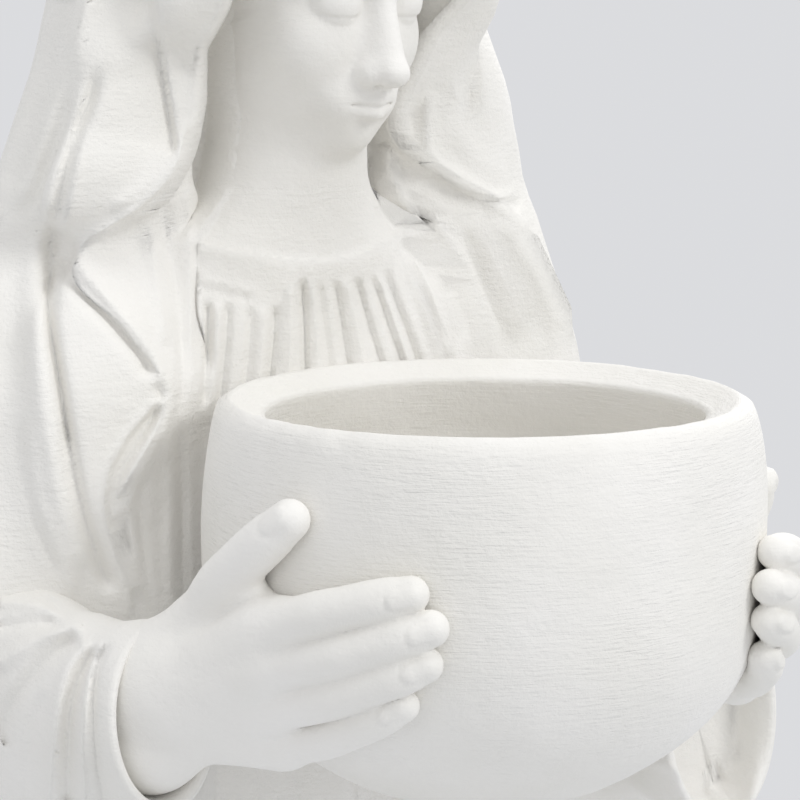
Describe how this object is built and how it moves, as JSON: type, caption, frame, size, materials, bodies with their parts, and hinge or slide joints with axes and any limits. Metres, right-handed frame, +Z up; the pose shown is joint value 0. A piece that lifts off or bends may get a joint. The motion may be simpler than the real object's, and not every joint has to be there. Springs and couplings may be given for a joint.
{
  "type": "virgin mary statue",
  "caption": "Standing garden figure of the Virgin Mary in a long veil and gathered dress, bowing over a wide open planting bowl that both hands hold in front of her.",
  "frame": {"origin": "centre of the plinth's flat underside", "axes": "+Z up, the figure faces -Y, and her left hand is on +X"},
  "size_m": [0.301, 0.329, 0.8],
  "materials": {
    "cast_stone": "matt white cast stone with fine brushed lines"
  },
  "bodies": {
    "root": {"statue": "cast_stone"}
  },
  "joints": []
}
